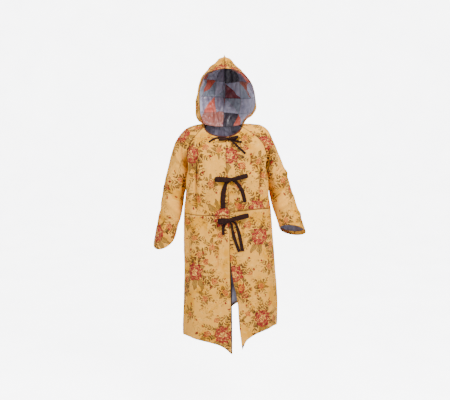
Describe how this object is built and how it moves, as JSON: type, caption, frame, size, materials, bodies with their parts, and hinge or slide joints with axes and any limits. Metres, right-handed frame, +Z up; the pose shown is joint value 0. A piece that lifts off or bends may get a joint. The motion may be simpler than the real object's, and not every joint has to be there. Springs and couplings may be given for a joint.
{
  "type": "hooded coat",
  "caption": "Long hooded coat of flowered tapestry cloth with raglan sleeves, a waist seam, a satin lining and ribbon bows down the front, held up empty.",
  "frame": {"origin": "middle of the coat between the shoulders at the height of the neckline, where it is held by the inside of its neck and shoulders", "axes": "+X towards the wearer's left, +Y towards the wearer's back, +Z up along the hanging coat"},
  "size_m": [0.768, 0.3241, 1.4757],
  "materials": {
    "bodice_front_right": "matt tapestry weave with roses",
    "bodice_front_left": "matt tapestry weave with roses",
    "bodice_back": "matt tapestry weave with roses",
    "skirt_front_right": "matt tapestry weave with roses",
    "skirt_front_left": "matt tapestry weave with roses",
    "skirt_back": "matt tapestry weave with roses",
    "sleeve_right": "matt tapestry weave with roses",
    "sleeve_left": "matt tapestry weave with roses",
    "hood_right": "matt tapestry weave with roses",
    "hood_left": "matt tapestry weave with roses",
    "hood_lining_right": "satin patchwork",
    "hood_lining_left": "satin patchwork",
    "back_lining": "satin",
    "cuff_lining_right": "satin",
    "cuff_lining_left": "satin",
    "neck_binding_right": "matt",
    "neck_binding_left": "matt",
    "edge_facing": "matt",
    "bow_neck": "velvet",
    "bow_middle": "velvet",
    "bow_lower": "velvet"
  },
  "bodies": {
    "root": {"bodice_front_right": "bodice_front_right", "bodice_front_left": "bodice_front_left", "bodice_back": "bodice_back", "skirt_front_right": "skirt_front_right", "skirt_front_left": "skirt_front_left", "skirt_back": "skirt_back", "sleeve_right": "sleeve_right", "sleeve_left": "sleeve_left", "hood_right": "hood_right", "hood_left": "hood_left", "hood_lining_right": "hood_lining_right", "hood_lining_left": "hood_lining_left", "back_lining": "back_lining", "cuff_lining_right": "cuff_lining_right", "cuff_lining_left": "cuff_lining_left", "neck_binding_right": "neck_binding_right", "neck_binding_left": "neck_binding_left", "edge_facing": "edge_facing", "bow_neck": "bow_neck", "bow_middle": "bow_middle", "bow_lower": "bow_lower"}
  },
  "joints": []
}
